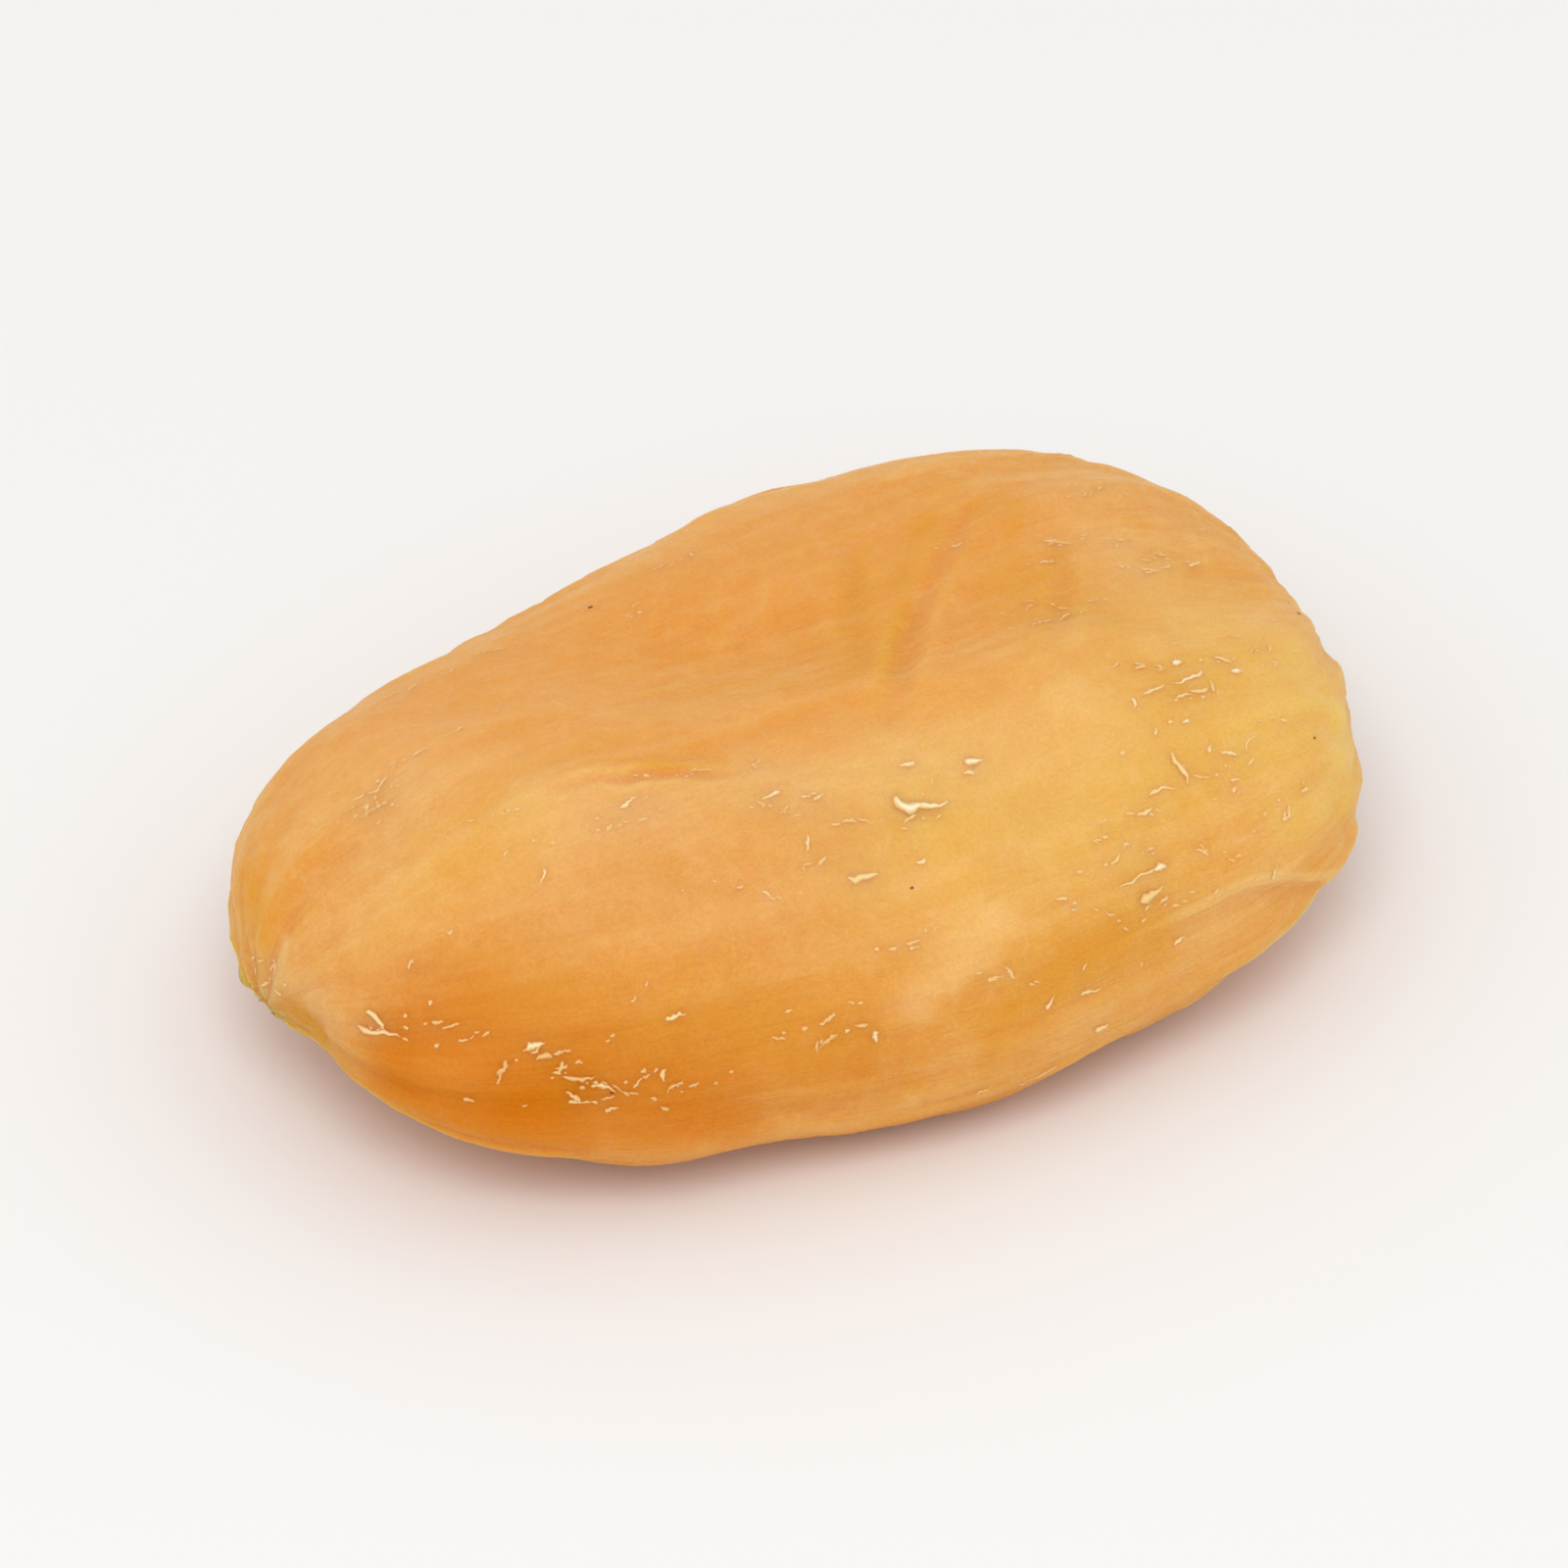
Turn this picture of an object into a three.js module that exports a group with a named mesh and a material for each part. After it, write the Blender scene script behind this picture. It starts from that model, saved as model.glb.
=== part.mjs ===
// A dried apricot: one whole fruit, pitted through its side and dried flat, lying on its broad underside.
// Millimetres, +Z up. +X runs along the fruit from the stem end to the tip, -Y is the thick, hanging side.
// The origin is the middle of the footprint, at the surface that the fruit lies on.
//
// The skin is one closed surface in two parameters: the share of the way from the crown out to the seam,
// and the direction. The under side has the same two, from the belly, and the sheets are joined along the
// seam. The plain lens that this gives is then pushed in and out along its normals by the dried skin's relief.
import * as THREE from "three";
import { mergeVertices } from "three/addons/utils/BufferGeometryUtils.js";

// Driving dimensions
// How far the rim reaches from the middle, every 30 degrees from the tip round over the thin side.
const RIM_REACH = [18.9, 19.0, 16.0, 13.8, 13.4, 17.5, 19.3, 17.8, 13.2, 13.0, 14.3, 18.0];
const CROWN_HEIGHT = 7.2; // above the rim, at the middle, before the dish is pressed in
const BELLY_DEPTH = 5.1; // below the rim, at the middle
const HALF_LENGTH = 19.5;
const HALF_WIDTH = 13.5;
const HALF_THICKNESS = 6.3;
const CROWN_FULLNESS = 0.86; // power on the sine of the section angle: below 1 is blunter than an ellipse
const BELLY_FULLNESS = 0.8;
const FOOT_SINK = 0.9; // how far the lowest skin is pressed flat by the surface under it
const FOOT_BLEND = 0.35; // half the height over which the foot rounds into the belly
// The dish left where the stone was: an oval on the thin side of the crown, turned a little from the length.
const DISH = { centre: [1.5, 3.4], halfLength: 16.5, halfWidth: 10, depth: 1.9, turn: -14 };
// The fat roll of flesh that runs in front of the dish.
const ROLL = { from: [-11, -0.5], to: [12, -6], height: 0.5, width: 4.4 };
const SECTION_HEIGHT = 6.5; // millimetres along the side for each radian of the section angle, near the rim
const HOLLOW = 0.35; // how far the belly is drawn up under the dish
const SEAM_GROOVE = { depth: 0.07, width: 0.35 };
// The lip beside the tip, where the skin folds over the side below it. Spreads are in radians of direction.
const LIP = { direction: -42, spread: 0.42, height: 0.24, groove: 0.1 };
const LIP_CLIMB = { from: 29, to: 48, rise: 0.3 }; // degrees below the tip, and radians of the section angle
const DRAWN_IN = { direction: -36, spread: 0.32, depth: 1.6 }; // the side under the lip
const SLIT = { direction: 72, spread: 0.75, height: 0.2, groove: 0.95 }; // where the stone came out
const NICK_DEPTH = 0.03;
const NICK_DEPTH_IN_PATCHES = 0.13;
const RINGS = 24; // from the crown to the seam

const RADIANS = Math.PI / 180;

// Helpers

const clamp = (value, low, high) => Math.min(high, Math.max(low, value));
const bell = (distance) => Math.exp(-distance * distance);

// 0 below start, 1 above end, smooth between them.
function ease(start, end, value) {
  const share = clamp((value - start) / (end - start), 0, 1);
  return share * share * (3 - 2 * share);
}

// How far direction is from the one given in degrees, from -PI to PI.
function turnFrom(direction, degrees) {
  const turn = direction - degrees * RADIANS;
  return Math.atan2(Math.sin(turn), Math.cos(turn));
}

// Distance in plan from a point to the line between two places, and the share of the way along it.
function alongLine(x, y, [ax, ay], [bx, by]) {
  const dx = bx - ax;
  const dy = by - ay;
  const share = clamp(((x - ax) * dx + (y - ay) * dy) / (dx * dx + dy * dy), 0, 1);
  return { distance: Math.hypot(x - ax - share * dx, y - ay - share * dy), share };
}

// Gradient noise

// A number from 0 to 1 for a corner of the noise's grid.
function cornerValue(ix, iy, iz, seed) {
  let bits = Math.imul(ix, 0x27d4eb2d) ^ Math.imul(iy, 0x165667b1) ^ Math.imul(iz, 0x9e3779b1);
  bits ^= Math.imul(seed, 0x85ebca6b);
  bits = Math.imul(bits ^ (bits >>> 15), 0x2c1b3c6d);
  bits = Math.imul(bits ^ (bits >>> 12), 0x297a2d39);
  return ((bits ^ (bits >>> 15)) >>> 0) / 4294967296;
}

// Smooth noise of about -1 to 1 that crosses zero once or twice in each unit of its coordinates.
function noise(coordinates, seed) {
  const corner = coordinates.map(Math.floor);
  const inside = coordinates.map((value, axis) => value - corner[axis]);
  const blend = inside.map((f) => f * f * f * (f * (f * 6 - 15) + 10));
  let total = 0;
  for (let c = 0; c < 8; c++) {
    const step = [c & 1, (c >> 1) & 1, (c >> 2) & 1];
    const [ix, iy, iz] = corner.map((value, axis) => value + step[axis]);
    let slope = 0;
    let weight = 1;
    for (let axis = 0; axis < 3; axis++) {
      slope += (cornerValue(ix, iy, iz, seed * 3 + axis) * 2 - 1) * (inside[axis] - step[axis]);
      weight *= step[axis] ? blend[axis] : 1 - blend[axis];
    }
    total += weight * slope;
  }
  return total * 1.6;
}

// Noise at a size in millimetres.
const noiseAt = (p, size, seed) => noise([p.x / size, p.y / size, p.z / size], seed);

// Round backs with creases between them, from smooth noise; softness rounds the creases' bottoms.
const folded = (value, softness) => Math.sqrt(value * value + softness);

// The plain lens

// The rim's reach in a direction: the twelve driving reaches, joined by the smoothest wave through them.
function rimReach(direction) {
  const count = RIM_REACH.length;
  let reach = 0;
  for (let wave = 0; wave <= count / 2; wave++) {
    let along = 0;
    let across = 0;
    RIM_REACH.forEach((value, i) => {
      along += value * Math.cos((wave * i * 2 * Math.PI) / count);
      across += value * Math.sin((wave * i * 2 * Math.PI) / count);
    });
    const share = wave === 0 || wave === count / 2 ? 1 / count : 2 / count;
    reach += share * (along * Math.cos(wave * direction) + across * Math.sin(wave * direction));
  }
  return reach;
}

// The rim's own height: both ends lift and the thick side hangs.
const rimHeight = (x, y) => 0.9 * (x / HALF_LENGTH) ** 2 - 0.6 * (y / HALF_WIDTH) ** 2 + 0.05 * y;

function dishDepth(x, y) {
  const [dx, dy] = [x - DISH.centre[0], y - DISH.centre[1]];
  const turned = DISH.turn * RADIANS;
  const u = dx * Math.cos(turned) + dy * Math.sin(turned);
  const v = dy * Math.cos(turned) - dx * Math.sin(turned);
  return DISH.depth * (1 - ease(0, 1, Math.hypot(u / DISH.halfLength, v / DISH.halfWidth)));
}

const rollHeight = (x, y) => ROLL.height * bell(alongLine(x, y, ROLL.from, ROLL.to).distance / ROLL.width);

const crownHeight = (x, y) => CROWN_HEIGHT - 0.1 * y - dishDepth(x, y) + rollHeight(x, y);

function bellyDepth(x, y) {
  const hollow = HOLLOW * (1 - ease(0, 1, Math.hypot((x + 2) / 12, (y - 1) / 8)));
  return BELLY_DEPTH + 0.05 * y - hollow;
}

// The seam's own wandering above and below the rim's middle, as a section angle.
const seamDrift = (direction) => 0.06 * Math.sin(2 * direction + 0.6) + 0.04 * Math.sin(5 * direction + 1);

// A point of the lens. Its share is 0 at the crown or the belly and 1 at the seam, and side is 1 above and -1
// below. The section angle is a quarter turn at the crown and 0 at the rim's middle.
function lensPoint(share, direction, side) {
  const section = side * (Math.PI / 2) * (1 - share) + seamDrift(direction) * share;
  const reach = rimReach(direction) * Math.cos(section);
  const x = reach * Math.cos(direction);
  const y = reach * Math.sin(direction);
  const rise = Math.abs(Math.sin(section));
  const height =
    section > 0 ? rise ** CROWN_FULLNESS * crownHeight(x, y) : -(rise ** BELLY_FULLNESS) * bellyDepth(x, y);
  return { x, y, z: rimHeight(x, y) + height, section, direction };
}

// The relief of the dried skin, in millimetres out along the normal

// Coordinates that run from the stem to the tip and round the girth, as dried wrinkles do.
function meridian(p, along, around, bend) {
  const m = [p.x / HALF_LENGTH, p.y / HALF_WIDTH, p.z / HALF_THICKNESS];
  const size = Math.hypot(...m) || 1e-9;
  const girth = Math.hypot(m[1], m[2]) / size + 1e-9;
  const latitude = Math.asin(clamp(m[0] / size, -1, 1));
  return [
    latitude * along + bend * noiseAt(p, 7.5, 11),
    (m[1] / size / girth) * around + bend * noiseAt(p, 7.5, 12),
    (m[2] / size / girth) * around + bend * noiseAt(p, 7.5, 13),
  ];
}

// How near the rim, the stem end, the tip and the under side a point is, from 0 to 1.
function nearness(p) {
  const rim = bell(p.section / 0.55);
  return {
    rim,
    stem: bell(Math.hypot(p.x + 19, p.y - 1) / 5.5),
    tip: Math.exp(-(((p.x - 18) / 6) ** 2) - ((p.y - 2) / 8) ** 2),
    back: rim * bell(turnFrom(p.direction, 80) / 0.9),
    under: p.section < 0 ? 1 - rim : 0,
  };
}

const lumps = (p) => 0.5 * noiseAt(p, 9, 1) + 0.26 * noiseAt(p, 4.6, 2);

// Long folds from end to end, and the closer wrinkles between them, deepest at the tip, the back and below.
function wrinkles(p, near) {
  const broad = folded(noise(meridian(p, 1.5, 2, 0.35), 21), 0.03) - 0.3;
  const close = folded(noise(meridian(p, 2.6, 4.6, 0.7), 22), 0.012) - 0.25;
  const patch = ease(-0.25, 0.45, noiseAt(p, 8, 31));
  const depth = 0.07 + 0.1 * patch + 0.1 * near.tip + 0.16 * near.back + 0.16 * near.under;
  return 0.34 * broad + 1.2 * depth * close;
}

// Short nicks across the rim, in patches.
function nicks(p, near) {
  const round = [8 * Math.cos(p.direction), 8 * Math.sin(p.direction), 1.4 * p.section];
  const bent = round.map((value, axis) => value + 0.5 * noiseAt(p, 7.5, 11 + axis));
  const patch = ease(-0.1, 0.5, noiseAt(p, 6, 42));
  const depth = NICK_DEPTH + (NICK_DEPTH_IN_PATCHES - NICK_DEPTH) * patch;
  return -depth * near.rim * clamp(1 - Math.abs(noise(bent, 41)) / 0.35, 0, 1);
}

// Creases pressed into the upper side: each from one place to another, with a depth and a width.
const CREASES = [
  { from: [1.4, -3.6], to: [6.0, 3.2], depth: 0.24, width: 0.5 },
  { from: [5.4, 2.2], to: [9.4, 6.6], depth: 0.16, width: 0.45 },
  { from: [2.6, 1.0], to: [5.0, 7.6], depth: 0.12, width: 0.5 },
  { from: [7.6, -3.4], to: [11.4, 3.4], depth: 0.12, width: 0.45 },
  { from: [-1.5, 1.5], to: [1.5, 7.4], depth: 0.08, width: 0.45 },
  { from: [-9.8, -1.6], to: [-4.2, -3.6], depth: 0.16, width: 0.4 },
  { from: [6.0, -8.0], to: [2.0, -9.6], depth: 0.12, width: 0.9 },
];

// A crease is a narrow valley with a low bank beyond it, and it fades towards both of its ends.
function creases(p) {
  if (p.section < 0) return 0;
  const wander = 0.7 * noiseAt(p, 3, 51) + 0.2 * noiseAt(p, 1.1, 52);
  return CREASES.reduce((sum, { from, to, depth, width }) => {
    const { distance, share } = alongLine(p.x + wander, p.y + wander, from, to);
    const fade = Math.sin(Math.PI * (0.1 + 0.8 * share));
    const bank = 0.4 * bell((distance - 1.5 * width) / (0.7 * width));
    return sum - depth * fade * (bell(distance / width) - bank);
  }, 0);
}

// The lip's fold leaves the seam at the tip and climbs the side, as a section angle.
const lipRise = (direction) =>
  LIP_CLIMB.rise * ease(LIP_CLIMB.from * RADIANS, LIP_CLIMB.to * RADIANS, turnFrom(-direction, 0));

// The seam round the rim: a fine groove, the slit's step, and the lip's step with the side drawn in below it.
function seam(p) {
  const above = SECTION_HEIGHT * (p.section - seamDrift(p.direction));
  const aboveLip = above - SECTION_HEIGHT * lipRise(p.direction);
  const lip = bell(turnFrom(p.direction, LIP.direction) / LIP.spread);
  const slit = bell(turnFrom(p.direction, SLIT.direction) / SLIT.spread);
  const groove = (SEAM_GROOVE.depth + SLIT.groove * slit) * bell(above / (SEAM_GROOVE.width * (1 + slit)));
  const lipGroove = LIP.groove * lip * bell((aboveLip + 0.3) / 0.4);
  const stepAt = (height) => Math.tanh(height / 0.3) * Math.exp(-Math.abs(height) / 2.6);
  const step = LIP.height * lip * stepAt(aboveLip) + SLIT.height * slit * stepAt(above);
  const below = Math.min(above, 0);
  const drawnIn = DRAWN_IN.depth * bell(turnFrom(p.direction, DRAWN_IN.direction) / DRAWN_IN.spread);
  return step - groove - lipGroove - drawnIn * (1 - Math.exp(below / 0.9)) * Math.exp(below / 6);
}

// The skin drawn together round the stem scar.
const pucker = (p, near) => 0.32 * near.stem * (folded(noise(meridian(p, 1, 3.4, 0.2), 61), 0.004) - 0.3);

function relief(p) {
  const near = nearness(p);
  return lumps(p) + wrinkles(p, near) + nicks(p, near) + creases(p) + seam(p) + pucker(p, near);
}

// The snub left by the stem stands out a little from the end.
function stemSnub(p) {
  const distance = Math.hypot((p.x + 18.9) / 1.8, (p.y - 0.6) / 1.7, (p.z - 0.4) / 1.4);
  return new THREE.Vector3(-0.4, 0, -0.1).multiplyScalar(bell(distance));
}

// The closed surface

// A square grid laid on a disc, so that no ring of triangles narrows to a point: its squares become rings.
function discPlace(column, row) {
  const a = column / RINGS - 1;
  const b = row / RINGS - 1;
  if (a === 0 && b === 0) return { share: 0, direction: 0 };
  if (Math.abs(a) >= Math.abs(b)) {
    return { share: Math.abs(a), direction: (Math.PI / 4) * (b / a) + (a < 0 ? Math.PI : 0) };
  }
  return { share: Math.abs(b), direction: Math.PI / 2 - (Math.PI / 4) * (a / b) + (b < 0 ? Math.PI : 0) };
}

// The two sheets of the lens. The lower one shares the upper one's points along the seam.
function lensSurface() {
  const size = 2 * RINGS + 1;
  const points = [];
  const faces = [];
  const sheet = (side, border) => {
    const grid = [];
    for (let column = 0; column < size; column++) {
      for (let row = 0; row < size; row++) {
        const onSeam = column % (size - 1) === 0 || row % (size - 1) === 0;
        if (border && onSeam) {
          grid.push(border[column * size + row]);
        } else {
          const { share, direction } = discPlace(column, row);
          grid.push(points.push(lensPoint(share, direction, side)) - 1);
        }
      }
    }
    for (let column = 0; column < size - 1; column++) {
      for (let row = 0; row < size - 1; row++) {
        const corners = [0, size, size + 1, 1].map((step) => grid[column * size + row + step]);
        if (side < 0) corners.reverse();
        faces.push(corners[0], corners[1], corners[2], corners[0], corners[2], corners[3]);
      }
    }
    return grid;
  };
  sheet(-1, sheet(1, null));
  return { points, faces };
}

function geometryOf(points, faces) {
  const geometry = new THREE.BufferGeometry();
  const positions = points.flatMap((p) => [p.x, p.y, p.z]);
  geometry.setAttribute("position", new THREE.Float32BufferAttribute(positions, 3));
  geometry.setIndex(faces);
  geometry.computeVertexNormals();
  return geometry;
}

// The underside is pressed flat where the fruit lies: a foot at height 0 that rounds into the belly.
function pressFoot(points) {
  const floor = Math.min(...points.map((p) => p.z)) + FOOT_SINK;
  points.forEach((p) => {
    const height = p.z - floor;
    if (height > FOOT_BLEND) p.z = height;
    else if (height < -FOOT_BLEND) p.z = 0;
    else p.z = (height + FOOT_BLEND) ** 2 / (4 * FOOT_BLEND);
  });
}

function centreFootprint(points) {
  for (const axis of ["x", "y"]) {
    const values = points.map((p) => p[axis]);
    const middle = (Math.min(...values) + Math.max(...values)) / 2;
    points.forEach((p) => (p[axis] -= middle));
  }
}

function apricotGeometry() {
  const { points, faces } = lensSurface();
  const normals = geometryOf(points, faces).getAttribute("normal");
  const skin = points.map((p, i) => {
    const outwards = new THREE.Vector3().fromBufferAttribute(normals, i).multiplyScalar(relief(p));
    return new THREE.Vector3(p.x, p.y, p.z).add(outwards).add(stemSnub(p));
  });
  pressFoot(skin);
  centreFootprint(skin);
  return mergeVertices(geometryOf(skin, faces));
}

const flesh = new THREE.MeshStandardMaterial({ color: 0xe8a355, roughness: 0.5, metalness: 0 });
const apricot = new THREE.Mesh(apricotGeometry(), flesh);
apricot.name = "dried_apricot";

const fruit = new THREE.Group();
fruit.add(apricot);

export default fruit;
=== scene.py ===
"""A dried apricot on a pale floor, in metres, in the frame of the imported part."""

import math

import bpy
import numpy as np
from bpy.props import FloatProperty, FloatVectorProperty, IntProperty, PointerProperty
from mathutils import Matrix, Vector


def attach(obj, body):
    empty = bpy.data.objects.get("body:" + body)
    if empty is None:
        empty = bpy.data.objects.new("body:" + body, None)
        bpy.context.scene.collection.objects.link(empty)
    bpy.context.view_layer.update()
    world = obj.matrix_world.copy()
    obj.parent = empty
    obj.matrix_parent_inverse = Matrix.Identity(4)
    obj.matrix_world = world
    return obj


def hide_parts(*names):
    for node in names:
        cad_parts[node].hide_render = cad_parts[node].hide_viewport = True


bl_info = {
    "name": "Dried apricot",
    "version": (1, 0, 0),
    "blender": (4, 5, 0),
    "location": "View3D > Sidebar > Apricot",
    "description": "Makes a dried apricot with its wrinkled, translucent skin, and a plain stage for it",
    "category": "Add Mesh",
}

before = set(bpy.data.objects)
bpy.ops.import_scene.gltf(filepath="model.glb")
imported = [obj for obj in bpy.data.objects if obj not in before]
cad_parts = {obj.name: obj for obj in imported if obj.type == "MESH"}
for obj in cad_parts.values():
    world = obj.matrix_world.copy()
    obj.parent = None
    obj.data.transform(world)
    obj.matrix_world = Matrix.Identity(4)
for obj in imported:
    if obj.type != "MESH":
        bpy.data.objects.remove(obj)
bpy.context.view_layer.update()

MM = 0.001
SKIN_NAME = "apricot_skin"
FLECKS_NAME = "skin_flecks"
SPECKS_NAME = "skin_specks"

LAMP_PLACE = (-0.12, -0.20, 0.38)
LIT_POINT = (0, 0, 0.005)
SEEN_POINT = (0, 0, 0.006)
SENSOR_WIDTH = 36
FLOOR_REACH = 2.0


# Small helpers on whole arrays


def ease(start, end, value):
    """0 below start, 1 above end, and a smooth cubic between them."""
    share = np.clip((value - start) / (end - start), 0, 1)
    return share * share * (3 - 2 * share)


def bell(distance):
    """A bell curve: e to the power of minus the distance squared."""
    return np.exp(-(distance**2))


def turn_from(direction, degrees):
    """How far a direction is from the one given in degrees, from -pi to pi."""
    return np.angle(np.exp(1j * (direction - math.radians(degrees))))


def along_line(x, y, start, end):
    """Distance in plan to the line from start to end, and the share of the way along it."""
    dx, dy = end[0] - start[0], end[1] - start[1]
    share = np.clip(((x - start[0]) * dx + (y - start[1]) * dy) / (dx * dx + dy * dy), 0, 1)
    return np.hypot(x - start[0] - share * dx, y - start[1] - share * dy), share


def near_path(points, path, width, power=2):
    """How near a path of straight legs in space each point is, 1 on the path: e to minus the distance in
    widths, to a power. A higher power gives a flatter middle and a sharper edge."""
    path = np.array(path, float)
    distance = np.full(len(points), np.inf)
    for start, leg in zip(path, np.diff(path, axis=0)):
        share = np.clip((points - start) @ leg / (leg @ leg), 0, 1)
        distance = np.minimum(distance, np.linalg.norm(points - start - share[:, None] * leg, axis=1))
    return np.exp(-((distance / width) ** power))


def folded(value, softness):
    """Round backs with creases between them, from smooth noise: the root of its square plus a softness."""
    return np.sqrt(value * value + softness)


def corner_value(ix, iy, iz, seed):
    """A number from 0 to 1 for each corner of the noise's grid: the three whole numbers mixed bit by bit."""
    word = np.uint32
    with np.errstate(over="ignore"):
        bits = ix.astype(word) * word(0x27D4EB2D) ^ iy.astype(word) * word(0x165667B1)
        bits ^= iz.astype(word) * word(0x9E3779B1)
        bits ^= np.array([seed], dtype=word) * word(0x85EBCA6B)
        bits = (bits ^ (bits >> word(15))) * word(0x2C1B3C6D)
        bits = (bits ^ (bits >> word(12))) * word(0x297A2D39)
        bits ^= bits >> word(15)
    return bits.astype(np.float64) / 4294967296.0


def noise(points, seed):
    """Gradient noise of about -1 to 1: each grid corner's own slope, blended with a quintic ease."""
    corner = np.floor(points)
    inside = points - corner
    blend = inside**3 * (inside * (inside * 6 - 15) + 10)
    corner = corner.astype(np.int64)
    total = np.zeros(len(points))
    for step in np.ndindex(2, 2, 2):
        ix, iy, iz = (corner + step).T
        slope = sum(
            (corner_value(ix, iy, iz, seed * 3 + axis) * 2 - 1) * (inside[:, axis] - step[axis])
            for axis in range(3)
        )
        weight = np.prod(np.where(step, blend, 1 - blend), axis=1)
        total += weight * slope
    return total * 1.6


# The fruit's own surface, in millimetres. Directions are in degrees from the tip, and spreads in radians.

HALF_LENGTH, HALF_WIDTH, HALF_THICKNESS = 19.5, 13.5, 6.3
SECTION_HEIGHT = 6.5  # along the side for each radian of the section angle, near the rim
DISH_CENTRE, DISH_HALF_LENGTH, DISH_HALF_WIDTH, DISH_TURN = (1.5, 3.4), 16.5, 10.0, -14
ROLL_START, ROLL_END, ROLL_WIDTH = (-11, -0.5), (12, -6), 4.4
HOLLOW = 0.35  # how far the belly is drawn up under the dish
FOOT_BLEND = 0.35  # half the height over which the foot rounds into the belly
SEAM_GROOVE, SEAM_GROOVE_WIDTH = 0.07, 0.35
LIP_DIRECTION, LIP_SPREAD, LIP_HEIGHT, LIP_GROOVE = -42, 0.42, 0.24, 0.1
LIP_CLIMB_START, LIP_CLIMB_END, LIP_CLIMB = 29, 48, 0.3
DRAWN_IN_DIRECTION, DRAWN_IN_SPREAD, DRAWN_IN_DEPTH = -36, 0.32, 1.6
SLIT_DIRECTION, SLIT_SPREAD, SLIT_HEIGHT, SLIT_GROOVE = 72, 0.75, 0.2, 0.95
STEM_PLACE, STEM_SPREAD = (-18.9, 0.6, 0.4), (1.8, 1.7, 1.4)
STEM_PUSH = (-0.4, 0, -0.1)
RIM_ENDS_UP, RIM_SIDES_DOWN, BACK_UP, CROWN_SLOPE = 0.9, 0.6, 0.05, 0.1
RIM_SPREAD, BACK_DIRECTION, BACK_SPREAD = 0.55, 80, 0.9
# Places in plan, each with how far it reaches.
HOLLOW_CENTRE, HOLLOW_REACH = (-2, 1), (12, 8)
TIP_CENTRE, TIP_REACH = (18, 2), (6, 8)
STEM_END, STEM_END_REACH = (-19, 1), 5.5

# The kinds of wrinkle: how often each repeats along the fruit and round it and how far it bends, the seed of
# its noise, and how soft its creases are.
BROAD_FOLDS = (1.5, 2, 0.35), 21, 0.03
CLOSE_WRINKLES = (2.6, 4.6, 0.7), 22, 0.012
PUCKER_FOLDS = (1, 3.4, 0.2), 61, 0.004
COARSE_THREADS = (5, 11, 1.1), 71, 0.006
FINE_THREADS = (9, 24, 1.9), 72, 0.004
BEND_SIZE = 7.5


def rim_reach(direction, reaches):
    """The rim's reach: the smoothest sum of cosines and sines through twelve reaches, 30 degrees apart."""
    waves = np.fft.rfft(reaches) / len(reaches)
    reach = np.full_like(direction, waves[0].real)
    for wave, size in enumerate(waves[1:], start=1):
        double = 1 if wave == len(reaches) // 2 else 2
        reach += double * (size.real * np.cos(wave * direction) - size.imag * np.sin(wave * direction))
    return reach


def seam_drift(direction):
    """How far the seam wanders above and below the rim's middle: two sines of the direction."""
    return 0.06 * np.sin(2 * direction + 0.6) + 0.04 * np.sin(5 * direction + 1)


def lip_rise(direction):
    """The lip's fold leaves the seam at the tip and climbs the side: an ease of the direction."""
    start, end = math.radians(LIP_CLIMB_START), math.radians(LIP_CLIMB_END)
    return LIP_CLIMB * ease(start, end, -turn_from(direction, 0))


def disc_grid(rings):
    """A square grid laid on a disc: share is the larger of the two coordinates, and direction turns with the
    other."""
    side = np.linspace(-1, 1, 2 * rings + 1)
    a, b = np.meshgrid(side, side, indexing="ij")
    wide = np.abs(a) >= np.abs(b)
    share = np.where(wide, np.abs(a), np.abs(b))
    across = np.divide(b, a, out=np.zeros_like(a), where=wide & (a != 0))
    along = np.divide(a, b, out=np.zeros_like(a), where=~wide)
    eighth = np.pi / 4
    direction = np.where(
        wide,
        eighth * across + np.where(a < 0, np.pi, 0),
        np.pi / 2 - eighth * along + np.where(b < 0, np.pi, 0),
    )
    return share, direction


def sheet_faces(grid, flip):
    """The grid's squares as four vertex numbers each, turned over for the lower sheet."""
    faces = np.stack([grid[:-1, :-1], grid[1:, :-1], grid[1:, 1:], grid[:-1, 1:]], axis=-1).reshape(-1, 4)
    return faces[:, ::-1] if flip else faces


def vertex_normals(points, faces):
    """Each vertex's outward normal: the sum of its squares' diagonal cross products, made one long."""
    a, b, c, d = (points[faces[:, k]] for k in range(4))
    face_normals = np.cross(c - a, d - b)
    normals = np.zeros_like(points)
    for k in range(4):
        np.add.at(normals, faces[:, k], face_normals)
    return normals / np.linalg.norm(normals, axis=1, keepdims=True)


def dish_share(x, y):
    """How far into the dish a place is, 0 to 1: an ease over an oval on the thin side, turned a little."""
    turned = math.radians(DISH_TURN)
    dx, dy = x - DISH_CENTRE[0], y - DISH_CENTRE[1]
    u = dx * math.cos(turned) + dy * math.sin(turned)
    v = dy * math.cos(turned) - dx * math.sin(turned)
    return 1 - ease(0, 1, np.hypot(u / DISH_HALF_LENGTH, v / DISH_HALF_WIDTH))


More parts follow.
